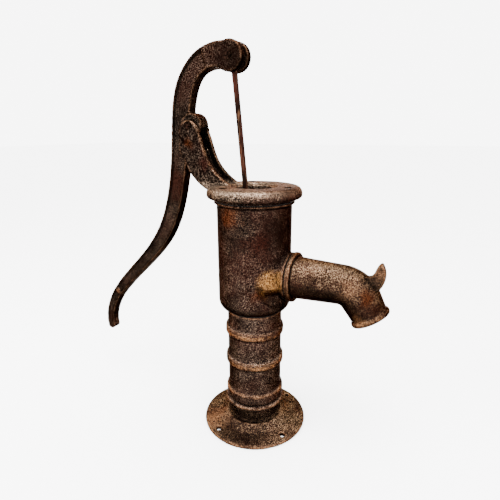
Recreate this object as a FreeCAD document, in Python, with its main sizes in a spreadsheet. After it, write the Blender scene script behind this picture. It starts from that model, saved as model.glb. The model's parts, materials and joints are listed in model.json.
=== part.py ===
"""A hand well pump: cast foot, ringed column, barrel, elbow spout, cap with bracket, lever, rod and piston.

Millimetres, +Z up. The origin is the centre of the foot's underside, on the pump's axis.
+X points along the spout, -X towards the lever.
"""
import FreeCAD, Part
import math
import os
import re

import Sketcher

SIZES = [
    # foot
    ("base_radius", 96), ("base_rim", 4), ("base_crown", 19.5), ("base_hub_radius", 54),
    ("base_neck_radius", 47), ("base_height", 44), ("socket_radius", 42.1), ("socket_floor", 28),
    ("port_radius", 17), ("suction_radius", 20), ("suction_depth", 22),
    ("bolt_circle", 165), ("bolt_hole_radius", 4.5), ("bolt_turn", -27.5),
    # column, which is the pump cylinder
    ("spigot_radius", 42), ("spigot_bore", 36), ("cylinder_bore", 38), ("column_radius", 48.5),
    ("foot_bead_radius", 54.5), ("foot_bead_top", 53), ("ring_radius", 52.5), ("ring_height", 14.5),
    ("low_ring_bottom", 56), ("low_ring_top", 76), ("middle_ring_bottom", 126),
    ("high_ring_bottom", 184.5), ("column_shoulder", 228.5), ("column_top_radius", 44),
    # barrel
    ("barrel_bottom", 230), ("barrel_radius", 63.5), ("barrel_bore", 55), ("barrel_floor", 16),
    ("barrel_top", 423), ("barrel_lip_radius", 68), ("barrel_lip", 4), ("lip_edge", 1.5),
    ("barrel_round", 19),
    # spout and its boss
    ("spout_height", 298), ("boss_face", 69), ("boss_radius", 41), ("boss_root_radius", 37),
    ("boss_root", 50), ("thread_start", 57), ("lug_reach", 58.5), ("lug_start", 15), ("lug_ridge", 74.5),
    ("thread_radius", 33), ("spout_bore", 27.5),
    ("collar_radius", 42.5), ("collar_start", 71), ("collar_width", 12), ("spout_radius", 35.5),
    ("spout_corner", 175), ("bend_radius", 38), ("bend_angle", 59), ("mouth_run", 58.3),
    ("elbow_radius", 32.3), ("neck_radius", 28.5), ("lip_radius", 32.3), ("lip_width", 9.5),
    ("hook_width", 13),
    # cap and bracket
    ("cap_seat", 424.5), ("cap_collar_radius", 68.5), ("cap_under", 427), ("cap_top", 447),
    ("cap_radius", 79.8), ("cap_low_round", 5), ("cap_top_round", 11), ("cap_opening", 32),
    ("cap_step_radius", 39), ("cap_step", 3),
    ("screw_circle", 120), ("screw_radius", 2.2), ("screw_head_radius", 4.6), ("screw_head", 4),
    ("counterbore_radius", 5), ("counterbore", 12), ("screw_tip", 408),
    ("ear_inner", 12.8), ("ear_width", 6.7), ("ear_round", 19), ("ear_boss_radius", 17.5),
    ("ear_boss", 1.6), ("ear_centre_x", -114.5), ("ear_centre_z", 533), ("web_width", 28),
    # lever linkage
    ("fulcrum_x", -113), ("fulcrum_z", 543.5), ("head_x", -36.5), ("head_z", 645.5),
    ("pin_radius", 5), ("pin_gap", 0.06), ("bar_width", 20), ("tip_taper_start", -170),
    ("tip_half_width", 8.5), ("panel_depth", 3.5), ("rim_width", 3),
    ("hub_radius", 20), ("hub_width", 25), ("bush_radius", 8), ("head_radius", 23.4),
    ("head_width", 35), ("fork_slot", 11), ("fork_depth", 22), ("pin_head_radius", 6.5),
    ("pin_head", 2.4), ("washer_radius", 9), ("washer", 2), ("wire_radius", 1.2),
    # rod
    ("knuckle_z", 276), ("rod_radius", 4.6), ("rod_tip_radius", 3.6), ("eye_radius", 11),
    ("eye_width", 10), ("shank_radius", 4.8), ("shank_length", 34), ("loop_half_width", 18),
    ("loop_half_height", 15), ("window_half_width", 11.5), ("window_half_height", 8.5), ("loop_width", 8),
    # piston
    ("piston_bottom", 172), ("follower_radius", 31), ("follower", 8), ("cup_radius", 37.6),
    ("cup_leather", 3), ("cup_depth", 18), ("cage_radius", 34), ("cage_plate", 8), ("hub_tube_radius", 14),
    ("valve_port", 10), ("leg_inner", 18), ("leg_outer", 23), ("leg_half_width", 8), ("bridge_bottom", 206),
    ("bridge", 9), ("valve_radius", 15), ("valve_disc", 5), ("wing_half_width", 9.6), ("wing", 3),
    ("clevis_gap", 13), ("clevis_arm", 5.5), ("clevis_half_width", 9), ("nut_flats", 20), ("nut", 6),
    ("stud_radius", 6), ("wrist_pin_radius", 4),
    # foot valve
    ("foot_leather", 2), ("flap_radius", 24), ("flap_leather", 3), ("flap_hinge_x", -29),
    ("tongue_half_width", 8), ("weight_radius", 16), ("weight", 9), ("rivet_radius", 3),
    ("rivet_head_radius", 7),
]

# Centre line of the lever's bar and its depth there: (x, z, depth), from the head down to the tip.
BAR_STATIONS = [
    (-42, 646.5, 42.5), (-58, 648.5, 38.5), (-86, 645, 35.5), (-106.5, 632, 33), (-121.5, 611.5, 34.5),
    (-131, 585, 36), (-136, 555, 36), (-139.5, 523, 35), (-144.5, 483.5, 33), (-151, 447, 31.5),
    (-161, 408, 31), (-179, 363.5, 30), (-217, 311, 26.5), (-256, 272, 24), (-300, 229.5, 22.5),
    (-318.5, 209, 21.3), (-325.5, 200.5, 20.8), (-336.5, 184, 20), (-351.5, 148, 18.5), (-353, 119.5, 18),
]
# Half width of the lever in the top view where the bar widens into the head: (x, y).
NECK = [(-46, 17.6), (-60, 17.2), (-72, 14.6), (-85, 11.4), (-99, 8.5), (-140, 7)]
LONG_PANEL = (2, 15)
TIP_PANEL = (16, 19)

# Edges of a bracket ear in the plane of the lever, from its rounded top down to the cap.
EAR_FRONT = [(-91.5, 523), (-87.2, 509.5), (-76.5, 483.5), (-61, 464.5), (-42, 450.5), (-36, 446.5)]
EAR_REAR = [(-134.5, 515), (-133, 497), (-125, 486), (-119, 473), (-108, 458), (-95, 446), (-78, 436)]
WEB = [(-97, 503), (-92, 485), (-82, 468), (-69, 455), (-52, 446), (-46, 440), (-66, 440), (-80, 456),
       (-92, 470), (-103, 492), (-106, 503)]
# The bucket hook on the outside of the spout's bend.
HOOK = [(184, 317), (192, 318), (199, 318.5), (204.5, 326), (210, 338), (214, 341), (218.5, 335.5),
        (221.5, 323), (219.5, 309), (211, 296), (200, 289)]

doc = FreeCAD.newDocument("HandWellPump")
sheet = doc.addObject("Spreadsheet::Sheet", "Sizes")
parts = []


def fill_sheet():
    for row, (name, number) in enumerate(SIZES, start=1):
        sheet.set(f"A{row}", name)
        sheet.set(f"B{row}", str(number))
        sheet.setAlias(f"B{row}", name)
    doc.recompute()


def bound(text):
    """The expression with every plain word turned into its cell of the sheet."""
    return re.sub(r"[a-z_]+", r"Sizes.\g<0>", str(text))


def value(text):
    result = sheet.evalExpression(bound(text))
    return float(getattr(result, "Value", result))


def bind(thing, prop, text):
    thing.setExpression(prop, bound(text))


def keep(thing, name):
    thing.Label = name
    parts.append(thing)
    return thing


def new_body(name):
    return keep(doc.addObject("PartDesign::Body", name), name)


def origin_feature(body, role):
    for feature in body.Origin.OriginFeatures:
        if feature.Role == role:
            return feature
    raise ValueError(role)


def new_sketch(body, role, shift=None):
    """A sketch on one of the body's origin planes, moved by an expression per sketch axis."""
    sketch = body.newObject("Sketcher::SketchObject", body.Name + "_sketch")
    sketch.AttachmentSupport = [(origin_feature(body, role), "")]
    sketch.MapMode = "FlatFace"
    for axis, text in (shift or {}).items():
        bind(sketch, f"AttachmentOffset.Base.{axis}", text)
    return sketch


def add_polygon(sketch, corners):
    """A closed outline of straight sides; each corner is a pair of expressions."""
    points = [FreeCAD.Vector(value(a), value(b), 0) for a, b in corners]
    first = sketch.GeometryCount
    count = len(points)
    for i in range(count):
        sketch.addGeometry(Part.LineSegment(points[i], points[(i + 1) % count]), False)
    for i in range(count):
        following = first + (i + 1) % count
        sketch.addConstraint(Sketcher.Constraint("Coincident", first + i, 2, following, 1))
    for i, corner in enumerate(corners):
        for kind, text, number in zip(("DistanceX", "DistanceY"), corner, points[i]):
            index = sketch.addConstraint(Sketcher.Constraint(kind, first + i, 1, number))
            bind(sketch, f"Constraints[{index}]", text)


def add_circle(sketch, across, up, radius):
    centre = FreeCAD.Vector(value(across), value(up), 0)
    circle = sketch.addGeometry(Part.Circle(centre, FreeCAD.Vector(0, 0, 1), value(radius)), False)
    for kind, text, number in (("DistanceX", across, centre.x), ("DistanceY", up, centre.y)):
        index = sketch.addConstraint(Sketcher.Constraint(kind, circle, 3, number))
        bind(sketch, f"Constraints[{index}]", text)
    index = sketch.addConstraint(Sketcher.Constraint("Radius", circle, value(radius)))
    bind(sketch, f"Constraints[{index}]", radius)


def spun(body, corners, kind="Revolution", shift=None, axis="V_Axis"):
    """Turns a profile drawn in the XZ plane about one of its sketch axes."""
    sketch = new_sketch(body, "XZ_Plane", shift)
    add_polygon(sketch, corners)
    feature = body.newObject("PartDesign::" + kind, f"{body.Name}_{kind.lower()}")
    feature.Profile = sketch
    feature.ReferenceAxis = (sketch, [axis])
    feature.Angle = 360
    doc.recompute()
    return feature


def pushed(body, sketch, kind, length, symmetric=False, reverse=False):
    """A pad or pocket of the sketch; a pocket that takes nothing away is an error."""
    before = body.Shape.Volume if kind == "Pocket" else 0
    feature = body.newObject("PartDesign::" + kind, f"{body.Name}_{kind.lower()}")
    feature.Profile = sketch
    feature.Midplane = symmetric
    feature.Reversed = reverse
    bind(feature, "Length", length)
    doc.recompute()
    if kind == "Pocket" and not body.Shape.Volume < before - 0.01:
        raise ValueError(f"a pocket in {body.Label} cuts nothing")
    return feature


def round_pocket(body, role, across, up, radius, length, symmetric=False, reverse=False, shift=None):
    sketch = new_sketch(body, role, shift)
    add_circle(sketch, across, up, radius)
    return pushed(body, sketch, "Pocket", length, symmetric, reverse)


def round_pad(body, role, across, up, radius, length, symmetric=False, reverse=False, shift=None):
    sketch = new_sketch(body, role, shift)
    add_circle(sketch, across, up, radius)
    return pushed(body, sketch, "Pad", length, symmetric, reverse)


def ring_of(body, features, count):
    """Repeats the features evenly about the pump's axis."""
    pattern = body.newObject("PartDesign::PolarPattern", body.Name + "_pattern")
    pattern.Originals = features
    pattern.Axis = (origin_feature(body, "Z_Axis"), [""])
    pattern.Angle = 360
    pattern.Occurrences = count
    body.Tip = pattern
    doc.recompute()
    return pattern


def round_edges(body, radius, wanted):
    """Fillets the circular edges for which wanted(radius, centre) is true."""
    base = body.Tip
    names = []
    for number, edge in enumerate(base.Shape.Edges, start=1):
        curve = edge.Curve
        if isinstance(curve, Part.Circle) and wanted(curve.Radius, curve.Center):
            names.append(f"Edge{number}")
    if not names:
        raise ValueError(f"no edge of {body.Label} to round")
    fillet = body.newObject("PartDesign::Fillet", body.Name + "_fillet")
    fillet.Base = (base, names)
    bind(fillet, "Radius", radius)
    doc.recompute()
    return fillet


def near(first, second):
    return abs(first - second) < 0.01


def cylinder(name, radius, length, x=0, y=0, z=0, turn=None):
    """A Part cylinder whose size and place are bound to the sheet; turn is an axis and an angle."""
    solid = doc.addObject("Part::Cylinder", name)
    bind(solid, "Radius", radius)
    bind(solid, "Height", length)
    if turn:
        solid.Placement.Rotation = FreeCAD.Rotation(*turn)
    for axis, text in zip("xyz", (x, y, z)):
        bind(solid, f"Placement.Base.{axis}", text)
    return solid


def block(name, low, length, width, height):
    """A Part box from its low corner, all given as expressions."""
    solid = doc.addObject("Part::Box", name)
    bind(solid, "Length", length)
    bind(solid, "Width", width)
    bind(solid, "Height", height)
    for axis, text in zip("xyz", low):
        bind(solid, f"Placement.Base.{axis}", text)
    return solid


def joined(name, solids):
    fusion = doc.addObject("Part::MultiFuse", name)
    fusion.Shapes = solids
    return fusion


def cut(name, base, tool):
    result = doc.addObject("Part::Cut", name)
    result.Base = base
    result.Tool = tool
    return result


ALONG_Y = (FreeCAD.Vector(1, 0, 0), -90)


def ring(name, outer, inner, bottom, height):
    """A flat ring about the pump's axis."""
    body = new_body(name)
    top = f"{bottom} + {height}"
    spun(body, [(inner, bottom), (outer, bottom), (outer, top), (inner, top)])
    return body


def spline(points):
    curve = Part.BSplineCurve()
    curve.interpolate([FreeCAD.Vector(x, z, 0) for x, z in points])
    return curve


# ---------------------------------------------------------------- foot, column and barrel

def base_flange():
    body = new_body("base_flange")
    spun(body, [
        ("suction_radius", "0"), ("base_radius", "0"), ("base_radius", "base_rim"),
        ("base_radius - 4", "base_rim + 2"), ("base_hub_radius + 14", "base_rim + 6"),
        ("base_hub_radius + 4", "base_crown - 4"), ("base_hub_radius", "base_crown"),
        ("base_neck_radius", "base_crown"), ("base_neck_radius", "base_height"),
        ("socket_radius", "base_height"), ("socket_radius", "socket_floor"),
        ("port_radius", "socket_floor"), ("port_radius", "suction_depth"),
        ("suction_radius", "suction_depth"),
    ])
    turn = math.radians(value("bolt_turn"))
    across = f"bolt_circle / 2 * {math.cos(turn):.6f}"
    up = f"bolt_circle / 2 * {math.sin(turn):.6f}"
    hole = round_pocket(body, "XY_Plane", across, up, "bolt_hole_radius", "base_crown", reverse=True)
    ring_of(body, [hole], 4)


def column():
    body = new_body("column")
    bead = [("foot_bead_radius - 3", "base_height"), ("foot_bead_radius", "base_height + 3"),
            ("foot_bead_radius", "foot_bead_top - 2"), ("foot_bead_radius - 2", "foot_bead_top"),
            ("column_radius + 1", "foot_bead_top"), ("column_radius + 1", "low_ring_bottom"),
            ("ring_radius", "low_ring_bottom"), ("ring_radius", "low_ring_top"),
            ("column_radius", "low_ring_top")]
    rings = []
    for bottom in ("middle_ring_bottom", "high_ring_bottom"):
        rings.append(("column_radius", bottom))
        rings.append(("ring_radius", bottom))
        rings.append(("ring_radius", f"{bottom} + ring_height"))
        rings.append(("column_radius", f"{bottom} + ring_height"))
    top = "barrel_bottom + barrel_floor"
    spun(body, [
        ("spigot_bore", "socket_floor + foot_leather"), ("spigot_radius", "socket_floor + foot_leather"),
        ("spigot_radius", "base_height"), *bead, *rings, ("column_radius", "column_shoulder"),
        ("column_top_radius", "column_shoulder"), ("column_top_radius", top), ("cylinder_bore", top),
        ("cylinder_bore", "base_height"), ("spigot_bore", "base_height"),
    ])
    ring_radius = value("ring_radius")
    round_edges(body, 1.8, lambda radius, centre: near(radius, ring_radius))


def add_lugs(body):
    """The pointed swelling that runs round the barrel on both sides of the spout's boss.

    A pad with the swelling's outline, trimmed by a groove to a ridge with a steep underside.
    """
    outline = new_sketch(body, "YZ_Plane", {"y": "spout_height", "z": "lug_start"})
    left = [("-20", "-50"), ("-38", "-46"), ("-50", "-34"), ("-55", "-18"), ("-lug_reach", "-4"),
            ("-55", "9"), ("-47", "16"), ("-33", "21")]
    right = [(across.replace("-", "", 1), up) for across, up in reversed(left)]
    add_polygon(outline, left + right)
    pushed(body, outline, "Pad", "boss_face - 0.5 - lug_start")
    spun(body, [
        ("barrel_radius + 3", "24"), ("lug_ridge - 2", "-4"), ("lug_ridge", "-8"),
        ("lug_ridge - 1", "-12"), ("barrel_radius + 3.5", "-22"), ("barrel_radius + 3", "-40"),
        ("barrel_radius + 0.02", "-51"), ("lug_ridge + 40", "-51"), ("lug_ridge + 40", "24"),
    ], kind="Groove", shift={"y": "spout_height"})


def barrel():
    body = new_body("barrel")
    spun(body, [
        ("0", "barrel_bottom"), ("barrel_radius", "barrel_bottom"),
        ("barrel_radius", "barrel_top - barrel_lip"), ("barrel_lip_radius", "barrel_top - barrel_lip"),
        ("barrel_lip_radius", "barrel_top"), ("0", "barrel_top"),
    ])
    bottom = value("barrel_bottom")
    outside = value("barrel_radius")
    round_edges(body, "barrel_round",
                lambda radius, centre: near(radius, outside) and near(centre.z, bottom))
    lip = value("barrel_lip_radius")
    round_edges(body, "lip_edge", lambda radius, centre: near(radius, lip))
    add_lugs(body)
    spun(body, [
        ("boss_root - 10", "0"), ("boss_root - 10", "boss_root_radius - 4"),
        ("boss_root", "boss_root_radius"), ("boss_face - 3", "boss_radius"),
        ("boss_face", "boss_radius"), ("boss_face", "0"),
    ], shift={"y": "spout_height"}, axis="H_Axis")
    spun(body, [
        ("0", "barrel_bottom + barrel_floor"), ("barrel_bore", "barrel_bottom + barrel_floor"),
        ("barrel_bore", "barrel_top + 1"), ("0", "barrel_top + 1"),
    ], kind="Groove")
    spun(body, [
        ("0", "barrel_bottom - 1"), ("column_top_radius + 0.1", "barrel_bottom - 1"),
        ("column_top_radius + 0.1", "barrel_bottom + barrel_floor + 1"),
        ("0", "barrel_bottom + barrel_floor + 1"),
    ], kind="Groove")
    spun(body, [
        ("boss_root - 16", "0"), ("boss_root - 16", "spout_bore"), ("thread_start", "spout_bore"),
        ("thread_start", "thread_radius + 0.1"), ("boss_face + 1", "thread_radius + 0.1"),
        ("boss_face + 1", "0"),
    ], kind="Groove", shift={"y": "spout_height"}, axis="H_Axis")
    hole = round_pocket(body, "XY_Plane", "screw_circle / 2", "0", "screw_radius + 0.05",
                        "barrel_top - screw_tip + 2", shift={"z": "barrel_top"})
    ring_of(body, [hole], 3)


# ---------------------------------------------------------------- spout

def elbow(start, start_radius, bend_radius, mouth_radius, past_mouth):
    """A solid round elbow along the spout: a cone, a bend of one radius and a cone to the mouth.

    Returns the solid, the centre of the mouth and the direction it points in.
    """
    level = value("spout_height")
    bend = value("bend_radius")
    turn = value("bend_angle")
    tangent = bend * math.tan(math.radians(turn / 2))
    along = FreeCAD.Vector(1, 0, 0)
    bend_start = FreeCAD.Vector(value("spout_corner") - tangent, 0, level)
    centre = bend_start - FreeCAD.Vector(0, 0, bend)
    down = FreeCAD.Vector(math.cos(math.radians(turn)), 0, -math.sin(math.radians(turn)))
    bend_end = centre + FreeCAD.Vector(math.sin(math.radians(turn)), 0, math.cos(math.radians(turn))) * bend
    run = value("mouth_run") - tangent
    first = Part.makeCone(start_radius, bend_radius, bend_start.x - start,
                          FreeCAD.Vector(start, 0, level), along)
    disc = Part.Face(Part.Wire(Part.Circle(bend_start, along, bend_radius).toShape()))
    middle = disc.revolve(centre, FreeCAD.Vector(0, 1, 0), turn)
    last = Part.makeCone(bend_radius, mouth_radius, run + past_mouth, bend_end, down)
    return first.fuse([middle, last]), bend_end + down * run, down


def spout():
    """Threaded end, collar, tapering elbow, rolled lip and bucket hook, cast in one."""
    along = FreeCAD.Vector(1, 0, 0)
    level = value("spout_height")
    begin = value("thread_start + 0.5")
    collar_start = value("collar_start")
    collar_end = value("collar_start + collar_width")
    outside, mouth, down = elbow(collar_end, value("spout_radius"), value("elbow_radius"),
                                 value("neck_radius"), 0)
    wall = value("spout_radius - spout_bore")
    inside = elbow(begin - 1, value("spout_bore"), value("elbow_radius") - wall + 2,
                   value("neck_radius") - wall + 2.5, 10)[0]

    collar = Part.makeCylinder(value("collar_radius"), collar_end - 4 - collar_start,
                               FreeCAD.Vector(collar_start, 0, level), along)
    rims = [edge for edge in collar.Edges if isinstance(edge.Curve, Part.Circle)]
    collar = collar.makeFillet(2.2, rims)
    neck = Part.makeCylinder(value("spout_radius"), 4.2, FreeCAD.Vector(collar_end - 4.2, 0, level), along)
    thread = Part.makeCylinder(value("thread_radius"), collar_start + 1 - begin,
                               FreeCAD.Vector(begin, 0, level), along)

    width = value("lip_width")
    lip = Part.makeCylinder(value("lip_radius"), width, mouth - down * (width - 1), down)
    lip = lip.makeFillet(width * 0.4, [edge for edge in lip.Edges if isinstance(edge.Curve, Part.Circle)])

    hook_edge = spline(HOOK)
    closing = Part.LineSegment(FreeCAD.Vector(*HOOK[-1], 0), FreeCAD.Vector(*HOOK[0], 0))
    hook = Part.Face(Part.Wire([hook_edge.toShape(), closing.toShape()]))
    hook.rotate(FreeCAD.Vector(0, 0, 0), FreeCAD.Vector(1, 0, 0), 90)
    half = value("hook_width") / 2
    hook.translate(FreeCAD.Vector(0, half, 0))
    hook = hook.extrude(FreeCAD.Vector(0, -2 * half, 0))

    feature = doc.addObject("Part::Feature", "spout")
    feature.Shape = outside.fuse([collar, neck, thread, lip, hook]).cut(inside)
    keep(feature, "spout")


def spout_gasket():
    body = new_body("spout_gasket")
    spun(body, [
        ("boss_face", "thread_radius + 0.3"), ("boss_face", "boss_radius - 3"),
        ("collar_start", "boss_radius - 3"), ("collar_start", "thread_radius + 0.3"),
    ], shift={"y": "spout_height"}, axis="H_Axis")


# ---------------------------------------------------------------- cap

def add_ear(body):
    """One bracket ear as a pad on the near side; its outline is an arc over the pin and two long curves."""
    sketch = new_sketch(body, "XZ_Plane", {"z": "ear_inner"})
    centre = FreeCAD.Vector(value("ear_centre_x"), value("ear_centre_z"), 0)
    radius = value("ear_round")
    front = FreeCAD.Vector(centre.x + radius, centre.y, 0)
    rear = FreeCAD.Vector(centre.x - radius, centre.y, 0)
    crown = FreeCAD.Vector(centre.x, centre.y + radius, 0)
    sketch.addGeometry(Part.Arc(front, crown, rear), False)
    sketch.addGeometry(spline([(rear.x, rear.y), *EAR_REAR]), False)
    sketch.addGeometry(spline([(front.x, front.y), *EAR_FRONT]), False)
    inside = FreeCAD.Vector(EAR_FRONT[-1][0] - 2, value("cap_top - 5"), 0)
    sketch.addGeometry(Part.LineSegment(FreeCAD.Vector(*EAR_FRONT[-1], 0), inside), False)
    sketch.addGeometry(Part.LineSegment(inside, FreeCAD.Vector(*EAR_REAR[-1], 0)), False)
    return pushed(body, sketch, "Pad", "ear_width")


def cap():
    body = new_body("cap")
    spun(body, [
        ("cap_opening", "cap_seat"), ("cap_collar_radius", "cap_seat"), ("cap_collar_radius", "cap_under"),
        ("cap_radius", "cap_under + 2"), ("cap_radius", "cap_top"), ("cap_step_radius", "cap_top"),
        ("cap_step_radius", "cap_top - cap_step"), ("cap_opening", "cap_top - cap_step"),
    ])
    edge = value("cap_radius")
    top = value("cap_top")
    round_edges(body, "cap_top_round", lambda radius, centre: near(radius, edge) and near(centre.z, top))
    low = value("cap_under + 2")
    round_edges(body, "cap_low_round", lambda radius, centre: near(radius, edge) and near(centre.z, low))
    near_ear = add_ear(body)
    far_ear = body.newObject("PartDesign::Mirrored", "cap_far_ear")
    far_ear.Originals = [near_ear]
    far_ear.MirrorPlane = (origin_feature(body, "XZ_Plane"), [""])
    body.Tip = far_ear
    doc.recompute()
    for reverse, level in ((False, "ear_inner + ear_width - 1"), (True, "1 - ear_inner - ear_width")):
        round_pad(body, "XZ_Plane", "ear_centre_x", "ear_centre_z", "ear_boss_radius", "ear_boss + 1",
                  reverse=reverse, shift={"z": level})
    web = new_sketch(body, "XZ_Plane")
    add_polygon(web, WEB)
    pushed(body, web, "Pad", "web_width", symmetric=True)
    spun(body, [
        ("0", "cap_seat - 1"), ("cap_opening", "cap_seat - 1"), ("cap_opening", "cap_top - cap_step"),
        ("cap_step_radius", "cap_top - cap_step"), ("cap_step_radius", "cap_top + 12"),
        ("0", "cap_top + 12"),
    ], kind="Groove")
    round_pocket(body, "XZ_Plane", "fulcrum_x", "fulcrum_z", "pin_radius + pin_gap", "70", symmetric=True)
    head = round_pocket(body, "XY_Plane", "screw_circle / 2", "0", "counterbore_radius", "counterbore",
                        shift={"z": "cap_top"})
    shank = round_pocket(body, "XY_Plane", "screw_circle / 2", "0", "screw_radius + 0.3",
                         "cap_top - cap_seat + 1", shift={"z": "cap_top"})
    ring_of(body, [head, shank], 3)


def cap_gasket():
    body = ring("cap_gasket", "cap_collar_radius - 3", "cap_opening + 1", "barrel_top",
                "cap_seat - barrel_top")
    hole = round_pocket(body, "XY_Plane", "screw_circle / 2", "0", "screw_radius + 0.3",
                        "5", reverse=True, shift={"z": "barrel_top - 1"})
    ring_of(body, [hole], 3)


def cap_screws():
    """Three slotted screws sunk in the cap, as one group."""
    screws = []
    floor = "cap_top - counterbore"
    for number in range(3):
        turn = math.radians(120 * number)
        x = f"screw_circle / 2 * ({math.cos(turn):.6f})"
        y = f"screw_circle / 2 * ({math.sin(turn):.6f})"
        head = cylinder(f"screw_head_{number}", "screw_head_radius", "screw_head", x, y, floor)
        shank = cylinder(f"screw_shank_{number}", "screw_radius", f"{floor} - screw_tip + 0.5",
                         x, y, "screw_tip")
        slot = block(f"screw_slot_{number}", (f"{x} - 0.6", f"{y} - 5", f"{floor} + screw_head - 1.5"),
                     "1.2", "10", "3")
        whole = joined(f"screw_whole_{number}", [head, shank])
        screws.append(cut(f"screw_{number}", whole, slot))
    group = doc.addObject("Part::Compound", "cap_screws")
    group.Links = screws
    keep(group, "cap_screws")


# ---------------------------------------------------------------- lever

def bar_side(side, inset, first, last):
    """Points along one side of the bar, set in from its edge; side is +1 outside, -1 inside."""
    points = []
    final = len(BAR_STATIONS) - 1
    for i in range(first, last + 1):
        x, z, depth = BAR_STATIONS[i]
        before = BAR_STATIONS[max(i - 1, 0)]
        after = BAR_STATIONS[min(i + 1, final)]
        run = math.hypot(after[0] - before[0], after[1] - before[1])
        normal = ((after[1] - before[1]) / run, -(after[0] - before[0]) / run)
        reach = side * (depth / 2 - inset)
        points.append((x + normal[0] * reach, z + normal[1] * reach))
    return points


def bar_sketch(body, shift, first, last, inset=0.0, round_tip=False):
    """The bar's outline between two stations, or a panel of it when inset."""
    sketch = new_sketch(body, "XZ_Plane", shift)
    outside = bar_side(1, inset, first, last)
    inside = bar_side(-1, inset, first, last)
    ends = [FreeCAD.Vector(*point, 0) for point in (outside[0], outside[-1], inside[-1], inside[0])]
    sketch.addGeometry(spline(outside), False)
    if round_tip:
        middle = (ends[1] + ends[2]) * 0.5
        across = ends[2] - ends[1]
        below = FreeCAD.Vector(across.y, -across.x, 0) * 0.5
        sketch.addGeometry(Part.Arc(ends[1], middle + below, ends[2]), False)
    else:
        sketch.addGeometry(Part.LineSegment(ends[1], ends[2]), False)
    sketch.addGeometry(spline(inside), False)
    sketch.addGeometry(Part.LineSegment(ends[3], ends[0]), False)
    return sketch


def add_neck(body):
    """The swelling from the bar to the forked head: a wide pad whose sides are trimmed in the top view.

    It lies just inside the bar's outline, and its thin end is buried in the bar.
    """
    pushed(body, bar_sketch(body, None, 0, 4, inset=0.4), "Pad", "head_width", symmetric=True)
    sides = new_sketch(body, "XY_Plane", {"z": "head_z - 60"})
    for side in (1, -1):
        taper = [FreeCAD.Vector(x, side * y, 0) for x, y in NECK]
        outer = [FreeCAD.Vector(NECK[i][0], side * 25, 0) for i in (0, -1)]
        curve = Part.BSplineCurve()
        curve.interpolate(taper)
        sides.addGeometry(curve, False)
        sides.addGeometry(Part.LineSegment(taper[-1], outer[1]), False)
        sides.addGeometry(Part.LineSegment(outer[1], outer[0]), False)
        sides.addGeometry(Part.LineSegment(outer[0], taper[0]), False)
    pushed(body, sides, "Pocket", "120", reverse=True)


def trim_tip(body):
    """Thins the bar towards its tip, evenly on both sides."""
    half = "bar_width / 2"
    sides = new_sketch(body, "XY_Plane")
    for side in ("", "-"):
        add_polygon(sides, [
            ("tip_taper_start", f"{side}({half})"), ("-375", f"{side}(tip_half_width)"),
            ("-375", f"{side}({half} + 5)"), ("tip_taper_start", f"{side}({half} + 5)"),
        ])
    pushed(body, sides, "Pocket", "500", reverse=True)


def handle():
    body = new_body("handle")
    final = len(BAR_STATIONS) - 1
    add_neck(body)
    pushed(body, bar_sketch(body, None, 0, final, round_tip=True), "Pad", "bar_width", symmetric=True)
    trim_tip(body)
    for first, last in (LONG_PANEL, TIP_PANEL):
        for reverse, sign in ((False, ""), (True, "-")):
            level = f"{sign}(bar_width / 2 - panel_depth)"
            panel = bar_sketch(body, {"z": level}, first, last, inset=value("rim_width"),
                               round_tip=last == final)
            pushed(body, panel, "Pocket", "panel_depth + 8", reverse=not reverse)
    round_pad(body, "XZ_Plane", "fulcrum_x", "fulcrum_z", "hub_radius", "hub_width", symmetric=True)
    round_pad(body, "XZ_Plane", "head_x", "head_z", "head_radius", "head_width", symmetric=True)
    slot = new_sketch(body, "XZ_Plane")
    add_polygon(slot, [
        ("head_x - fork_depth", "head_z - 40"), ("head_x + 40", "head_z - 40"),
        ("head_x + 40", "head_z + 40"), ("head_x - fork_depth", "head_z + 40"),
    ])
    pushed(body, slot, "Pocket", "fork_slot", symmetric=True)
    round_pocket(body, "XZ_Plane", "fulcrum_x", "fulcrum_z", "bush_radius", "60", symmetric=True)
    round_pocket(body, "XZ_Plane", "head_x", "head_z", "pin_radius", "60", symmetric=True)


def handle_bush():
    body = new_body("handle_bush")
    sketch = new_sketch(body, "XZ_Plane")
    add_circle(sketch, "fulcrum_x", "fulcrum_z", "bush_radius")
    add_circle(sketch, "fulcrum_x", "fulcrum_z", "pin_radius + pin_gap")
    pushed(body, sketch, "Pad", "hub_width", symmetric=True)


def pin_set(name, radius, x, z, grip, head_radius):
    """A headed pin along Y with a washer and a split pin beyond its far end.

    grip is the half width of what it holds. The head is on the near side.
    """
    near_side = f"-({grip})"
    head = cylinder(name + "_head", head_radius, "pin_head", x, f"{near_side} - pin_head", z, ALONG_Y)
    shank = cylinder(name + "_shank", radius, f"2 * ({grip}) + washer + 6.5", x, near_side, z, ALONG_Y)
    hole_y = f"{grip} + washer + 2"
    hole = cylinder(name + "_hole", "wire_radius", "40", x, hole_y, f"{z} - 20")
    keep(cut(name, joined(name + "_whole", [head, shank]), hole), name)

    disc = cylinder(name + "_disc", "washer_radius", "washer", x, grip, z, ALONG_Y)
    bore = cylinder(name + "_bore", radius, "washer + 2", x, f"{grip} - 1", z, ALONG_Y)
    washer = cut(name + "_washer", disc, bore)
    keep(washer, name + "_washer")

    wire = cylinder(name + "_wire", "wire_radius", "19", x, hole_y, f"{z} - 11")
    eye = doc.addObject("Part::Torus", name + "_wire_eye")
    bind(eye, "Radius1", "wire_radius * 2.2")
    bind(eye, "Radius2", "wire_radius * 1.2")
    eye.Placement.Rotation = FreeCAD.Rotation(*ALONG_Y)
    for axis, text in zip("xyz", (x, hole_y, f"{z} + 10")):
        bind(eye, f"Placement.Base.{axis}", text)
    keep(joined(name + "_split_pin", [wire, eye]), name + "_split_pin")


# ---------------------------------------------------------------- rod

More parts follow.
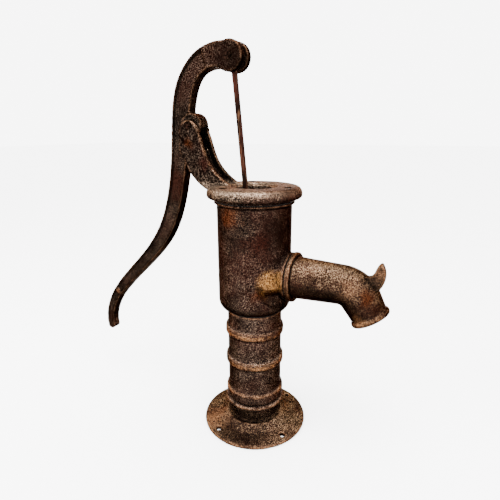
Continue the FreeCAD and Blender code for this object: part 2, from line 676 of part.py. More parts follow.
def rod_placement():
    """Puts a shape built hanging straight down from the head pin onto the line to the piston's wrist."""
    drop = value("head_z - knuckle_z")
    lean = math.degrees(math.atan2(value("head_x"), drop))
    place = FreeCAD.Vector(value("head_x"), 0, value("head_z"))
    return FreeCAD.Placement(place, FreeCAD.Rotation(FreeCAD.Vector(0, 1, 0), lean))


def rod_length():
    return math.hypot(value("head_x"), value("head_z - knuckle_z"))


def rod_head_eye():
    """Forged eye in the lever's fork with a shank that the rod screws into."""
    body = new_body("rod_head_eye")
    round_pad(body, "XZ_Plane", "0", "0", "eye_radius", "eye_width", symmetric=True)
    round_pad(body, "XY_Plane", "0", "0", "shank_radius", "shank_length - 6", reverse=True,
              shift={"z": "-6"})
    round_pocket(body, "XZ_Plane", "0", "0", "pin_radius + pin_gap", "30", symmetric=True)
    round_pocket(body, "XY_Plane", "0", "0", "rod_tip_radius", "shank_length - 14", reverse=True,
                 shift={"z": "-shank_length"})
    body.Placement = rod_placement()


def piston_rod():
    """Round bar with a wide flat loop at its foot, which the wrist pin passes through."""
    body = new_body("piston_rod")
    foot = f"-{rod_length():.4f}"
    loop = new_sketch(body, "XZ_Plane", {"y": foot})
    for half_width, half_height in (("loop_half_width", "loop_half_height"),
                                    ("window_half_width", "window_half_height")):
        across = value(half_width)
        up = value(half_height)
        flat = across - up
        left = FreeCAD.Vector(-flat, 0, 0)
        right = FreeCAD.Vector(flat, 0, 0)
        lift = FreeCAD.Vector(0, up, 0)
        sideways = FreeCAD.Vector(up, 0, 0)
        loop.addGeometry(Part.LineSegment(left + lift, right + lift), False)
        loop.addGeometry(Part.Arc(right + lift, right + sideways, right - lift), False)
        loop.addGeometry(Part.LineSegment(right - lift, left - lift), False)
        loop.addGeometry(Part.Arc(left - lift, left - sideways, left + lift), False)
    pushed(body, loop, "Pad", "loop_width", symmetric=True)
    length = f"{rod_length():.4f} - loop_half_height + 2 - shank_length"
    round_pad(body, "XY_Plane", "0", "0", "rod_radius", length, reverse=True, shift={"z": "-shank_length"})
    round_pad(body, "XY_Plane", "0", "0", "rod_tip_radius", "shank_length - 13", reverse=True,
              shift={"z": "-14"})
    body.Placement = rod_placement()


# ---------------------------------------------------------------- piston

def piston_body():
    """Cage: hub tube, plate with the valve seat, two legs and the bridge that the clevis screws into."""
    body = new_body("piston_body")
    plate = "piston_bottom + follower + cup_leather"
    plate_top = f"{plate} + cage_plate"
    spun(body, [
        ("valve_port", "piston_bottom"), ("hub_tube_radius", "piston_bottom"), ("hub_tube_radius", plate),
        ("cage_radius", plate), ("cage_radius", f"{plate_top} - 2"), ("cage_radius - 2", plate_top),
        ("valve_port", plate_top),
    ])
    frame = new_sketch(body, "YZ_Plane")
    low = f"{plate_top} - 1"
    top = "bridge_bottom + bridge"
    add_polygon(frame, [
        ("-leg_outer", low), ("-leg_inner", low), ("-leg_inner", "bridge_bottom"),
        ("leg_inner", "bridge_bottom"), ("leg_inner", low), ("leg_outer", low), ("leg_outer", top),
        ("-leg_outer", top),
    ])
    pushed(body, frame, "Pad", "2 * leg_half_width", symmetric=True)
    round_pocket(body, "XY_Plane", "0", "0", "stud_radius", "bridge + 1", shift={"z": f"{top} + 0.5"})


def piston_cup():
    """Leather cup whose lip turns up against the cylinder wall."""
    body = new_body("piston_cup")
    floor = "piston_bottom + follower"
    spun(body, [
        ("hub_tube_radius", floor), ("cup_radius - 2", floor), ("cup_radius", f"{floor} + 2"),
        ("cup_radius", f"{floor} + cup_depth"), ("cup_radius - cup_leather + 1", f"{floor} + cup_depth"),
        ("cup_radius - cup_leather", f"{floor} + cup_leather"),
        ("hub_tube_radius", f"{floor} + cup_leather"),
    ])


def piston_follower():
    """Ring nut on the hub tube that clamps the cup from below."""
    body = ring("piston_follower", "follower_radius", "hub_tube_radius", "piston_bottom", "follower")
    notch = round_pocket(body, "XY_Plane", "follower_radius", "0", "3", "follower + 2", reverse=True,
                         shift={"z": "piston_bottom - 1"})
    ring_of(body, [notch], 6)


def piston_valve():
    """Lift valve: a disc on the plate's seat with crossed wings in the port and a knob on top."""
    seat = "piston_bottom + follower + cup_leather + cage_plate"
    body = new_body("piston_valve")
    spun(body, [
        ("0", seat), ("valve_radius", seat), ("valve_radius", f"{seat} + valve_disc - 1"),
        ("valve_radius - 1", f"{seat} + valve_disc"), ("4", f"{seat} + valve_disc"),
        ("4", f"{seat} + valve_disc + 2"), ("0", f"{seat} + valve_disc + 2"),
    ])
    for role in ("XZ_Plane", "YZ_Plane"):
        wings = new_sketch(body, role)
        add_polygon(wings, [
            ("-wing_half_width", f"{seat} - 13"), ("wing_half_width", f"{seat} - 13"),
            ("wing_half_width", f"{seat} + 1"), ("-wing_half_width", f"{seat} + 1"),
        ])
        pushed(body, wings, "Pad", "wing", symmetric=True)


def piston_clevis():
    """Fork for the rod's loop, on a stud that screws into the piston's bridge."""
    body = new_body("piston_clevis")
    bridge_top = "bridge_bottom + bridge"
    floor = f"{bridge_top} + nut"
    outer = "clevis_gap / 2 + clevis_arm"
    round_pad(body, "XY_Plane", "0", "0", "stud_radius", "bridge + nut + 1", shift={"z": "bridge_bottom"})
    fork = new_sketch(body, "YZ_Plane")
    add_polygon(fork, [
        (f"-({outer})", floor), (outer, floor), (outer, "knuckle_z"), ("clevis_gap / 2", "knuckle_z"),
        ("clevis_gap / 2", f"{floor} + 10"), ("-clevis_gap / 2", f"{floor} + 10"),
        ("-clevis_gap / 2", "knuckle_z"), (f"-({outer})", "knuckle_z"),
    ])
    pushed(body, fork, "Pad", "2 * clevis_half_width", symmetric=True)
    for reverse, level in ((False, "clevis_gap / 2"), (True, "-clevis_gap / 2")):
        round_pad(body, "XZ_Plane", "0", "knuckle_z", "clevis_half_width", "clevis_arm",
                  reverse=reverse, shift={"z": level})
    round_pocket(body, "XZ_Plane", "0", "knuckle_z", "wrist_pin_radius", "60", symmetric=True)


def clevis_lock_nut():
    body = new_body("clevis_lock_nut")
    sketch = new_sketch(body, "XY_Plane", {"z": "bridge_bottom + bridge"})
    corners = []
    for side in range(6):
        turn = math.radians(60 * side)
        across = math.cos(turn) / math.sqrt(3)
        up = math.sin(turn) / math.sqrt(3)
        corners.append((f"nut_flats * ({across:.6f})", f"nut_flats * ({up:.6f})"))
    add_polygon(sketch, corners)
    add_circle(sketch, "0", "0", "stud_radius")
    pushed(body, sketch, "Pad", "nut")


# ---------------------------------------------------------------- foot valve

def foot_valve_flap():
    """Leather disc over the suction port, with a tongue to its hinge line."""
    body = new_body("foot_valve_flap")
    round_pad(body, "XY_Plane", "0", "0", "flap_radius", "flap_leather", shift={"z": "socket_floor"})
    tongue = new_sketch(body, "XY_Plane", {"z": "socket_floor"})
    add_polygon(tongue, [
        ("flap_hinge_x", "-tongue_half_width"), ("-flap_radius + 6", "-tongue_half_width"),
        ("-flap_radius + 6", "tongue_half_width"), ("flap_hinge_x", "tongue_half_width"),
    ])
    pushed(body, tongue, "Pad", "flap_leather")
    round_pocket(body, "XY_Plane", "0", "0", "rivet_radius", "10", reverse=True,
                 shift={"z": "socket_floor - 1"})


def foot_valve_weight():
    body = new_body("foot_valve_weight")
    floor = "socket_floor + flap_leather"
    spun(body, [
        ("rivet_radius", floor), ("weight_radius", floor), ("weight_radius", f"{floor} + weight - 3"),
        ("weight_radius - 3", f"{floor} + weight"), ("rivet_radius", f"{floor} + weight"),
    ])


def foot_valve_rivet():
    body = new_body("foot_valve_rivet")
    top = "socket_floor + flap_leather + weight"
    spun(body, [
        ("0", "socket_floor - 3"), ("rivet_head_radius - 2", "socket_floor - 3"),
        ("rivet_head_radius", "socket_floor"), ("rivet_radius", "socket_floor"), ("rivet_radius", top),
        ("rivet_head_radius - 1", top), ("rivet_head_radius - 3", f"{top} + 3"), ("0", f"{top} + 3"),
    ])


# ---------------------------------------------------------------- the whole pump

def build():
    fill_sheet()
    base_flange()
    ring("foot_valve_gasket", "spigot_radius", "flap_radius + 9", "socket_floor", "foot_leather")
    column()
    ring("barrel_seal", "column_radius - 0.5", "column_top_radius + 0.1", "column_shoulder",
         "barrel_bottom - column_shoulder")
    barrel()
    spout_gasket()
    spout()
    cap_gasket()
    cap()
    cap_screws()
    pin_set("fulcrum_pin", "pin_radius", "fulcrum_x", "fulcrum_z", "ear_inner + ear_width + ear_boss",
            "pin_head_radius")
    handle()
    handle_bush()
    pin_set("head_pin", "pin_radius", "head_x", "head_z", "head_width / 2", "pin_radius + 1.5")
    rod_head_eye()
    piston_rod()
    piston_clevis()
    pin_set("wrist_pin", "wrist_pin_radius", "0", "knuckle_z", "clevis_gap / 2 + clevis_arm",
            "wrist_pin_radius + 2")
    clevis_lock_nut()
    piston_body()
    piston_cup()
    piston_follower()
    piston_valve()
    foot_valve_flap()
    foot_valve_weight()
    foot_valve_rivet()
    doc.recompute()


def check():
    for thing in doc.Objects:
        if "Invalid" in thing.State or "Error" in thing.State:
            raise ValueError(f"{thing.Label} did not build: {thing.State}")
    for thing in parts:
        if thing.Shape.isNull() or not thing.Shape.isValid():
            raise ValueError(f"{thing.Label} has no valid shape")


def write():
    os.makedirs("parts", exist_ok=True)
    for thing in parts:
        thing.Shape.exportStep(os.path.join("parts", thing.Label + ".step"))
        print(f"{thing.Label}: {len(thing.Shape.Solids)} solid, {thing.Shape.Volume / 1000:.1f} cm3")


build()
check()
write()
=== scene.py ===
import json
import math

import bpy
import numpy as np
from mathutils import Matrix, Vector

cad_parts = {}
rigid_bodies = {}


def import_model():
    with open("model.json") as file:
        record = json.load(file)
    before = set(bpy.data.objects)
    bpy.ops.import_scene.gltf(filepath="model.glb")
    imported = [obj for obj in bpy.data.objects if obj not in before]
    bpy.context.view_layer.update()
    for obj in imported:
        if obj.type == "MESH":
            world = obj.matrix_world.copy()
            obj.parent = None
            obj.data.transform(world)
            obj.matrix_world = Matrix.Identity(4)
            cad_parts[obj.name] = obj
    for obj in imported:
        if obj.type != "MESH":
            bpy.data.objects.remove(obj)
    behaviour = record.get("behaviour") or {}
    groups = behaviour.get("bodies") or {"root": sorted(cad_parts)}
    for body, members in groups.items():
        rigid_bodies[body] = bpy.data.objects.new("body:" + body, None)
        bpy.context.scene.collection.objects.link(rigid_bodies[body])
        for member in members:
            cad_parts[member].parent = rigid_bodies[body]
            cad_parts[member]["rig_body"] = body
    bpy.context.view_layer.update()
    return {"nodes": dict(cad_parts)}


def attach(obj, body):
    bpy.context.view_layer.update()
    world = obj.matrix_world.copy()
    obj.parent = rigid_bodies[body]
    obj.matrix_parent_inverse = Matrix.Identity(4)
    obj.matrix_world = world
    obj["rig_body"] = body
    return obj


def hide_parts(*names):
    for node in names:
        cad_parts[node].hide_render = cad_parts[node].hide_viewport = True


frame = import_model()
nodes = frame["nodes"]

# ------------------------------------------------------------------ colours, linear

NEAR_BLACK = (0.0006, 0.0004, 0.0003, 1)
DARK_BROWN = (0.0030, 0.0014, 0.0011, 1)
RED_BROWN = (0.0190, 0.0052, 0.0034, 1)
DEEP_RED = (0.0060, 0.0015, 0.0008, 1)
# Rust colour, also used as a painted highlight on the lever's hub.
RUST_AND_HIGHLIGHT_ORANGE = (0.055, 0.0150, 0.0045, 1)
TAN = (0.240, 0.160, 0.112, 1)
PALE_TAN = (0.260, 0.180, 0.125, 1)
PALE_GOLD = (0.245, 0.152, 0.088, 1)
# Gold, used for a painted highlight on the top of the barrel's spout lug.
GOLD = (0.190, 0.088, 0.024, 1)
COPPER = (0.125, 0.062, 0.032, 1)
BRIGHT_COPPER = (0.200, 0.094, 0.042, 1)
EDGE_TINT = (0.26, 0.19, 0.15, 1)
PIN_RUB = (0.012, 0.006, 0.004, 1)
SCREW_SHADE_RUB = (0.002, 0.0014, 0.001, 1)
DULL_WIRE = (0.05, 0.043, 0.037, 1)
BARE_WIRE = (0.14, 0.12, 0.10, 1)
DULL_STEEL = (0.30, 0.29, 0.28, 1)
BARE_STEEL = (0.48, 0.46, 0.44, 1)
DULL_IRON = (0.06, 0.055, 0.05, 1)
BARE_IRON = (0.17, 0.15, 0.13, 1)
DULL_BRASS = (0.42, 0.26, 0.08, 1)
BARE_BRASS = (0.68, 0.50, 0.20, 1)
OILED_LEATHER = (0.09, 0.035, 0.014, 1)
DRY_LEATHER = (0.24, 0.11, 0.045, 1)
LEATHER_CREASE = (0.035, 0.015, 0.007, 1)
RUBBER = (0.0020, 0.0018, 0.0016, 1)
RUBBER_DUST = (0.0060, 0.0052, 0.0045, 1)
FLOOR_GREY = (0.90, 0.90, 0.90, 1)

# ------------------------------------------------------------------ sizes, in metres

# Radii of the painted shade around small holes.
HOLE_EDGE = 0.0072
HOLE_FULL = 0.0058
BAND_FADE_LOW = 0.003
BAND_FADE_HIGH = 0.001
SAND_DEPTH = 0.0012
SKIN_WAVE_HEIGHT = 0.0004
SKIN_WAVE_LENGTH = 0.018
RUBBED_AND_SHADED_CURVATURE = 170  # per metre
FLOOR_WIDTH = 30


class Material:
    """A short way to write a node material."""

    def __init__(self, name, metallic):
        self.data = bpy.data.materials.new(name)
        self.data.use_nodes = True
        self.tree = self.data.node_tree
        self.shader = self.tree.nodes["Principled BSDF"]
        self.shader.inputs["Metallic"].default_value = metallic
        self.shader.inputs["Specular IOR Level"].default_value = 0.25
        self.shader.inputs["Specular Tint"].default_value = EDGE_TINT if metallic > 0.4 else (1, 1, 1, 1)
        self.where = self.add("ShaderNodeTexCoord")

    def plug(self, socket, value):
        if isinstance(value, bpy.types.NodeSocket):
            self.tree.links.new(value, socket)
        else:
            socket.default_value = value

    def add(self, kind, settings=None, inputs=None):
        node = self.tree.nodes.new(kind)
        for name, value in (settings or {}).items():
            setattr(node, name, value)
        for name, value in (inputs or {}).items():
            self.plug(node.inputs[name], value)
        return node

    def place(self, stretch=(1, 1, 1), shift=(0, 0, 0)):
        """The piece's own coordinates, which move with it."""
        inputs = {"Vector": self.where.outputs["Object"], "Scale": stretch, "Location": shift}
        return self.add("ShaderNodeMapping", inputs=inputs).outputs["Vector"]

    def noise(self, scale, detail=2.0, rough=0.5, stretch=(1, 1, 1), shift=(0, 0, 0)):
        inputs = {"Vector": self.place(stretch, shift), "Scale": scale, "Detail": detail, "Roughness": rough}
        return self.add("ShaderNodeTexNoise", inputs=inputs).outputs["Fac"]

    def ramp(self, value, low, high, start=0.0, end=1.0):
        """Maps low..high to start..end and stops at both ends."""
        inputs = {"Value": value, "From Min": low, "From Max": high, "To Min": start, "To Max": end}
        settings = {"interpolation_type": "SMOOTHSTEP"}
        return self.add("ShaderNodeMapRange", settings, inputs).outputs["Result"]

    def math(self, operation, first, second):
        node = self.add("ShaderNodeMath", {"operation": operation, "use_clamp": True})
        self.plug(node.inputs[0], first)
        self.plug(node.inputs[1], second)
        return node.outputs[0]

    def mix(self, amount, first, second):
        node = self.add("ShaderNodeMix", {"data_type": "RGBA"})
        self.plug(node.inputs[0], amount)
        self.plug(node.inputs[6], first)
        self.plug(node.inputs[7], second)
        return node.outputs[2]

    def facing_up(self):
        """0 on undersides, 1 on tops, in the piece's own frame."""
        parts = self.add("ShaderNodeSeparateXYZ", inputs={"Vector": self.where.outputs["Normal"]})
        return self.ramp(parts.outputs["Z"], -0.35, 0.95)

    def height(self, low, high):
        """0 below low, 1 above high, in metres above the foot."""
        parts = self.add("ShaderNodeSeparateXYZ", inputs={"Vector": self.where.outputs["Object"]})
        return self.ramp(parts.outputs["Z"], low, high)

    def distance(self, centre):
        """Metres from a point in the piece's own frame."""
        node = self.add("ShaderNodeVectorMath", {"operation": "DISTANCE"})
        self.plug(node.inputs[0], self.where.outputs["Object"])
        self.plug(node.inputs[1], centre)
        return node.outputs["Value"]

    def spot(self, centre, radius):
        """Nearly 1 at the centre, half at 0.4 of the radius and 0 before it, with a ragged edge."""
        blur = self.math("MULTIPLY", self.noise(55, 4, 0.65), radius * 1.3)
        return self.ramp(self.math("ADD", self.distance(centre), blur), radius * 1.5, radius * 0.6)

    def bump(self, height, distance, strength):
        inputs = {"Height": height, "Distance": distance, "Strength": strength}
        self.plug(self.shader.inputs["Normal"], self.add("ShaderNodeBump", inputs=inputs).outputs["Normal"])

    def finish(self, colour, roughness):
        self.plug(self.shader.inputs["Base Color"], colour)
        self.plug(self.shader.inputs["Roughness"], roughness)
        return self.data


# ------------------------------------------------------------------ materials

def cast_bronze(name, grain, top, wear, speck, shade=DARK_BROWN, warm=TAN, patch=0.5, gloss=0.42,
                spots=(), bands=(), holes=(), pale_below=None):
    """Sand-cast iron with an aged bronze finish.

    shade is the colour in the hollows of the sand skin and warm the colour of its crests. grain and top
    say how much of the crests shows everywhere and, as painted light from above, on upper faces, patch how
    much rust red, wear how bright the edges are rubbed, speck how fine the sand is (noise scale per metre)
    and gloss the roughness in the middle of its range. spots is a list of (centre, radius, colour) places
    that are rubbed or rusted, and places of painted shadow and painted highlight, bands one of (low, high,
    colour) rings between two heights, holes the centres of small holes painted near black as the shade
    inside them, and pale_below two heights: under the first the finish is lighter, with its upper faces
    lighter still as painted light, and above the second it is not. Undersides and creases get painted
    shade.
    """
    m = Material(name, metallic=1.0)
    skin = m.noise(speck, 2.5, 0.65)
    coarse = m.noise(speck * 0.45, 2, 0.5)
    cloud = m.noise(38, 5, 0.62)
    broad = m.noise(9, 4, 0.6, shift=(0.31, 0.17, 0.05))

    up = m.facing_up()
    red = m.math("MULTIPLY", m.ramp(broad, 0.42, 0.60), patch)
    colour = m.mix(red, shade, RED_BROWN)
    crest = m.ramp(skin, 0.535, 0.585)
    uneven = m.ramp(cloud, 0.34, 0.66, 0.30, 1.0)
    # Painted light: upper faces show more of the pale crests, as if lit from above.
    crests_and_top_light = m.math("ADD", m.math("MULTIPLY", up, top), grain)
    if pale_below:
        rim = m.math("SUBTRACT", 1.0, m.height(*pale_below))
        crests_and_top_light = m.math("ADD", crests_and_top_light, m.math("MULTIPLY", rim, 0.5))
        # Painted light: below the rim height, upper faces are also made warmer and lighter.
        colour = m.mix(m.math("MULTIPLY", m.math("MULTIPLY", rim, up), 0.35), colour, warm)
    colour = m.mix(m.math("MULTIPLY", crest, m.math("MULTIPLY", crests_and_top_light, uneven)), colour, warm)
    for centre, radius, tint in spots:
        mask = m.math("MULTIPLY", m.spot(centre, radius), m.ramp(skin, 0.36, 0.60, 0.10, 0.85))
        colour = m.mix(mask, colour, tint)
    for low, high, tint in bands:
        above = m.height(low - BAND_FADE_LOW, low + BAND_FADE_LOW)
        below = m.height(high + BAND_FADE_HIGH, high - BAND_FADE_HIGH)
        inside = m.math("MULTIPLY", above, below)
        patchy = m.ramp(cloud, 0.40, 0.62, 0.05, 0.9)
        speckled = m.ramp(skin, 0.38, 0.58, 0.15, 1.0)
        ragged = m.math("MULTIPLY", patchy, speckled)
        colour = m.mix(m.math("MULTIPLY", inside, ragged), colour, tint)
    rubbed = m.add("ShaderNodeAttribute", {"attribute_name": "wear"}).outputs["Fac"]
    rubbed = m.math("MULTIPLY", rubbed, m.ramp(cloud, 0.34, 0.60, 0.12, 1.0))
    rubbed = m.math("MULTIPLY", rubbed, m.ramp(coarse, 0.36, 0.56, 0.35, 1.0))
    colour = m.mix(m.math("MULTIPLY", rubbed, wear), colour, COPPER)
    pits = m.math("MAXIMUM", m.ramp(skin, 0.50, 0.44), m.ramp(coarse, 0.42, 0.34))
    colour = m.mix(m.math("MULTIPLY", pits, 0.85), colour, NEAR_BLACK)
    # Painted shade: creases and inward folds are darkened towards near black.
    crease_shade = m.add("ShaderNodeAttribute", {"attribute_name": "crease_shade"}).outputs["Fac"]
    colour = m.mix(m.math("MULTIPLY", crease_shade, 0.85), colour, NEAR_BLACK)
    # Painted shade: undersides and steep lower faces are darkened towards near black.
    colour = m.mix(m.ramp(up, 0.30, 0.0, 0, 0.65), colour, NEAR_BLACK)

    # Painted shade: small discs around the hole centres are darkened to near black, as the shade inside the
    # holes.
    for centre in holes:
        colour = m.mix(m.ramp(m.distance(centre), HOLE_EDGE, HOLE_FULL), colour, NEAR_BLACK)

    sand = m.math("ADD", m.math("MULTIPLY", skin, 0.6), m.math("MULTIPLY", coarse, 0.4))
    m.bump(sand, SAND_DEPTH, 0.75)
    return m.finish(colour, m.ramp(skin, 0.35, 0.7, gloss + 0.2, gloss - 0.08))


def worn_metal(name, shade, rub, gloss=0.38, metallic=0.7):
    """Turned, drawn or rough metal under a thin dull finish that is rubbed through in places."""
    m = Material(name, metallic)
    cloud = m.noise(260, 4, 0.65)
    fine = m.noise(1400, 2, 0.5)
    colour = m.mix(m.ramp(cloud, 0.44, 0.68), shade, rub)
    colour = m.mix(m.ramp(fine, 0.42, 0.30, 0, 0.6), colour, NEAR_BLACK)
    m.bump(fine, 0.0003, 0.5)
    return m.finish(colour, m.ramp(cloud, 0.3, 0.7, gloss + 0.15, gloss - 0.05))


def rod_bar(name):
    """The round bar: dark, with long streaks of copper brown."""
    m = Material(name, metallic=0.9)
    streak = m.noise(420, 3, 0.6, stretch=(1, 1, 0.05))
    cloud = m.noise(60, 4, 0.6, stretch=(1, 1, 0.4))
    colour = m.mix(m.ramp(cloud, 0.42, 0.66), DARK_BROWN, RED_BROWN)
    colour = m.mix(m.ramp(streak, 0.54, 0.70, 0, 0.5), colour, COPPER)
    fine = m.noise(1200, 2, 0.5)
    colour = m.mix(m.ramp(fine, 0.44, 0.32, 0, 0.8), colour, NEAR_BLACK)
    drawn = m.math("ADD", m.math("MULTIPLY", fine, 0.5), m.math("MULTIPLY", streak, 0.5))
    m.bump(drawn, 0.0004, 0.6)
    return m.finish(colour, m.ramp(cloud, 0.3, 0.7, 0.55, 0.38))


def leather(name):
    m = Material(name, metallic=0.0)
    cells = m.add("ShaderNodeTexVoronoi", {"feature": "DISTANCE_TO_EDGE"},
                  {"Vector": m.place(), "Scale": 900})
    cloud = m.noise(70, 4, 0.6)
    colour = m.mix(m.ramp(cloud, 0.35, 0.65), OILED_LEATHER, DRY_LEATHER)
    crease = m.ramp(cells.outputs["Distance"], 0.0, 0.12)
    colour = m.mix(crease, LEATHER_CREASE, colour)
    m.bump(crease, 0.0003, 0.6)
    return m.finish(colour, m.ramp(cloud, 0.3, 0.7, 0.75, 0.55))


def rubber(name):
    m = Material(name, metallic=0.0)
    m.shader.inputs["Specular IOR Level"].default_value = 0.05
    dust = m.noise(300, 4, 0.6)
    m.bump(m.noise(1500, 2, 0.5), 0.0002, 0.5)
    colour = m.mix(m.ramp(dust, 0.4, 0.7), RUBBER, RUBBER_DUST)
    return m.finish(colour, m.ramp(dust, 0.3, 0.7, 0.65, 0.85))


# ------------------------------------------------------------------ castings

def neighbour_sum(values, edges, count):
    total = np.zeros((count,) + values.shape[1:])
    np.add.at(total, edges[:, 0], values[edges[:, 1]])
    np.add.at(total, edges[:, 1], values[edges[:, 0]])
    return total


def mark_edges(mesh):
    """Stores how sharply the surface turns: wear where it stands proud, painted shade where it folds in."""
    count = len(mesh.vertices)
    points = np.empty(count * 3)
    mesh.vertices.foreach_get("co", points)
    points = points.reshape(-1, 3)
    normals = np.empty(count * 3)
    mesh.vertex_normals.foreach_get("vector", normals)
    normals = normals.reshape(-1, 3)
    edges = np.empty(len(mesh.edges) * 2, int)
    mesh.edges.foreach_get("vertices", edges)
    edges = edges.reshape(-1, 2)
    run = points[edges[:, 1]] - points[edges[:, 0]]
    turn = normals[edges[:, 1]] - normals[edges[:, 0]]
    bend = (run * turn).sum(1) / np.maximum((run * run).sum(1), 1e-12)
    degree = np.bincount(edges.ravel(), minlength=count)
    curve = np.bincount(edges.ravel(), weights=np.repeat(bend, 2), minlength=count) / np.maximum(degree, 1)
    for _ in range(2):
        curve = (curve + neighbour_sum(curve, edges, count)) / (degree + 1)
    for name, sign in (("wear", 1), ("crease_shade", -1)):
        amount = np.clip((sign * curve / RUBBED_AND_SHADED_CURVATURE - 0.25) / 0.75, 0, 1)
        mesh.attributes.new(name, "FLOAT", "POINT").data.foreach_set("value", amount.astype(np.float32))


def casting(node, voxel, material, rounds=5):
    """Replaces a CAD node by its casting: the same shape with rounded edges and a slightly uneven skin."""
    piece = bpy.data.objects.new(node + "_casting", nodes[node].data.copy())
    bpy.context.scene.collection.objects.link(piece)
    remesh = piece.modifiers.new("even", "REMESH")
    remesh.mode = "VOXEL"
    remesh.voxel_size = voxel
    smooth = piece.modifiers.new("round", "SMOOTH")
    smooth.factor = 0.5
    smooth.iterations = rounds
    clouds = bpy.data.textures.new(node + "_waves", "CLOUDS")
    clouds.noise_scale = SKIN_WAVE_LENGTH
    skin = piece.modifiers.new("skin", "DISPLACE")
    skin.texture = clouds
    skin.texture_coords = "LOCAL"
    skin.strength = SKIN_WAVE_HEIGHT
    skin.mid_level = 0.5
    bpy.context.view_layer.update()
    final = bpy.data.meshes.new_from_object(piece.evaluated_get(bpy.context.evaluated_depsgraph_get()))
    piece.modifiers.clear()
    piece.data = final
    final.shade_smooth()
    mark_edges(final)
    final.materials.clear()
    final.materials.append(material)
    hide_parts(node)
    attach(piece, nodes[node]["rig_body"])


def dress(names, material):
    """Gives CAD nodes a material and leaves their shapes as they are."""
    for name in names:
        nodes[name].data.materials.clear()
        nodes[name].data.materials.append(material)


def build_castings():
    casting("base_flange", 0.0014, cast_bronze(
        "foot_bronze", grain=0.24, top=0.40, warm=PALE_GOLD, wear=0.8, speck=620,
        spots=[((-0.062, -0.060, 0.012), 0.050, COPPER), ((0.012, -0.072, 0.012), 0.080, DARK_BROWN)]))
    casting("column", 0.0014, cast_bronze(
        "column_bronze", grain=0.27, top=0.50, wear=0.9, speck=680,
        bands=[(0.127, 0.136, BRIGHT_COPPER), (0.185, 0.194, BRIGHT_COPPER), (0.070, 0.077, COPPER)]))
    # On the barrel the large near-black spot is painted shade on its right side, the small near-black one a
    # painted shadow under the spout lug, and the two gold ones a painted highlight on the lug's top; the
    # orange and red-brown spots are rust.
    casting("barrel", 0.0013, cast_bronze(
        "barrel_bronze", grain=0.24, top=0.30, patch=0.6, wear=0.4, speck=680,
        spots=[((0.057, -0.028, 0.380), 0.085, NEAR_BLACK), ((-0.015, -0.062, 0.404), 0.034, RUST_AND_HIGHLIGHT_ORANGE),
               ((0.030, -0.056, 0.360), 0.040, RED_BROWN), ((0.036, -0.060, 0.276), 0.022, RUST_AND_HIGHLIGHT_ORANGE),
               ((0.050, -0.048, 0.278), 0.030, NEAR_BLACK),
               ((0.048, -0.052, 0.297), 0.030, GOLD), ((0.058, -0.042, 0.300), 0.026, GOLD)]))
    casting("spout", 0.0012, cast_bronze(
        "spout_bronze", grain=0.16, top=0.75, warm=PALE_GOLD, wear=0.8, speck=800,
        spots=[((0.175, -0.022, 0.300), 0.030, COPPER), ((0.200, -0.024, 0.288), 0.024, RUST_AND_HIGHLIGHT_ORANGE),
               ((0.210, -0.020, 0.272), 0.052, DEEP_RED),
               ((0.197, -0.028, 0.243), 0.030, BRIGHT_COPPER), ((0.214, -0.006, 0.326), 0.022, COPPER)]))
    casting("cap", 0.0012, cast_bronze(
        "cap_bronze", grain=0.11, top=0.50, patch=0.9, warm=PALE_TAN, wear=0.5, speck=500,
        pale_below=(0.4475, 0.455),
        spots=[((-0.085, -0.020, 0.480), 0.022, RED_BROWN), ((-0.115, -0.020, 0.515), 0.016, RUST_AND_HIGHLIGHT_ORANGE),
               ((0.074, -0.030, 0.433), 0.085, DEEP_RED)],
        # The three screw holes are painted near black for the shade inside them.
        holes=[(0.060, 0, 0.4458), (-0.030, 0.05196, 0.4458), (-0.030, -0.05196, 0.4458)]))
    # On the lever the small orange spot at the hub is a painted highlight.
    casting("handle", 0.0012, cast_bronze(
        "lever_bronze", shade=NEAR_BLACK, grain=0.24, top=0.15, patch=0.35, gloss=0.44, wear=0.35, speck=620,
        spots=[((-0.030, -0.018, 0.645), 0.080, NEAR_BLACK), ((-0.150, -0.007, 0.440), 0.060, RED_BROWN),
               ((-0.322, -0.008, 0.205), 0.010, COPPER), ((-0.103, -0.004, 0.560), 0.014, RUST_AND_HIGHLIGHT_ORANGE)]),
        rounds=3)


def dress_the_rest():
    dark = worn_metal("dark_pin_steel", NEAR_BLACK, PIN_RUB, gloss=0.45, metallic=1.0)
    dress(["fulcrum_pin", "fulcrum_pin_washer", "head_pin", "head_pin_washer"], dark)
    # Painted shade: the cap screws sit deep in their holes and are made near black and matte for the shade
    # there.
    screw_shade_black = worn_metal("screws_painted_shade_black", NEAR_BLACK, SCREW_SHADE_RUB, gloss=0.8, metallic=0.3)
    dress(["cap_screws"], screw_shade_black)
    wire = worn_metal("drawn_wire", DULL_WIRE, BARE_WIRE, gloss=0.34)
    dress(["fulcrum_pin_split_pin", "head_pin_split_pin", "wrist_pin_split_pin"], wire)
    dress(["rod_head_eye", "piston_rod"], rod_bar("rod_bar"))
    bright = worn_metal("damp_steel", DULL_STEEL, BARE_STEEL, metallic=0.9)
    dress(["piston_clevis", "wrist_pin", "wrist_pin_washer", "clevis_lock_nut"], bright)
    raw = worn_metal("raw_iron", DULL_IRON, BARE_IRON, gloss=0.5, metallic=0.5)
    dress(["piston_body", "piston_follower", "foot_valve_weight"], raw)
    dress(["piston_cup", "foot_valve_flap", "foot_valve_gasket"], leather("oiled_leather"))
    brass = worn_metal("tarnished_brass", DULL_BRASS, BARE_BRASS, gloss=0.32, metallic=0.9)
    dress(["handle_bush", "piston_valve", "foot_valve_rivet"], brass)
    dress(["barrel_seal", "spout_gasket", "cap_gasket"], rubber("black_rubber"))


# ------------------------------------------------------------------ camera

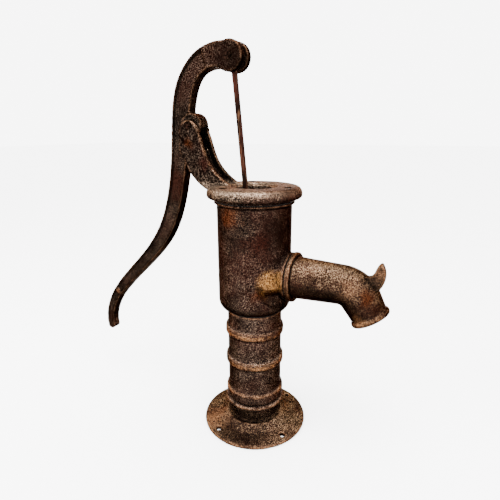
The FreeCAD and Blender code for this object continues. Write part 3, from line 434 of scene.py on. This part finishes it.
VIEW_AZIMUTH = math.radians(26)  # from -Y towards +X
CAMERA_PITCH = math.radians(16.40)
CAMERA_YAW = math.radians(-0.660)
CAMERA_ROLL = math.radians(-0.307)
CAMERA_DISTANCE = 0.677  # level distance from the pump's axis
CAMERA_HEIGHT = 0.5348
CAMERA_LENS = 29.25


def add_camera():
    data = bpy.data.cameras.new("view")
    data.lens = CAMERA_LENS
    data.sensor_width = 36
    camera = bpy.data.objects.new("view", data)
    bpy.context.scene.collection.objects.link(camera)
    turn = Matrix.Rotation(VIEW_AZIMUTH - CAMERA_YAW, 4, "Z")
    tilt = Matrix.Rotation(math.pi / 2 - CAMERA_PITCH, 4, "X")
    roll = Matrix.Rotation(CAMERA_ROLL, 4, "Z")
    place = Vector((math.sin(VIEW_AZIMUTH), -math.cos(VIEW_AZIMUTH), 0)) * CAMERA_DISTANCE
    place.z = CAMERA_HEIGHT
    camera.matrix_world = Matrix.Translation(place) @ turn @ tilt @ roll
    bpy.context.scene.camera = camera


# ------------------------------------------------------------------ studio

def add_floor():
    bpy.ops.mesh.primitive_plane_add(size=FLOOR_WIDTH)
    floor = bpy.context.object
    floor.name = "floor"
    material = bpy.data.materials.new("studio_floor")
    material.use_nodes = True
    shader = material.node_tree.nodes["Principled BSDF"]
    shader.inputs["Base Color"].default_value = FLOOR_GREY
    shader.inputs["Roughness"].default_value = 0.8
    floor.data.materials.append(material)


def add_world(strength):
    world = bpy.data.worlds.new("studio")
    world.use_nodes = True
    world.node_tree.nodes["Background"].inputs["Color"].default_value = (1, 1, 1, 1)
    world.node_tree.nodes["Background"].inputs["Strength"].default_value = strength
    bpy.context.scene.world = world


def add_softbox(name, place, target, size, power):
    data = bpy.data.lights.new(name, "AREA")
    data.shape = "DISK"
    data.size = size
    data.energy = power
    light = bpy.data.objects.new(name, data)
    bpy.context.scene.collection.objects.link(light)
    light.location = place
    light.rotation_euler = (Vector(target) - Vector(place)).to_track_quat("-Z", "Y").to_euler()


build_castings()
dress_the_rest()
add_camera()
add_floor()
add_world(7.5)
add_softbox("top_light", (0.15, -0.35, 1.75), (0, 0, 0.3), 0.9, 60)
add_softbox("left_light", (-1.3, -1.0, 1.3), (0, 0, 0.35), 0.7, 30)
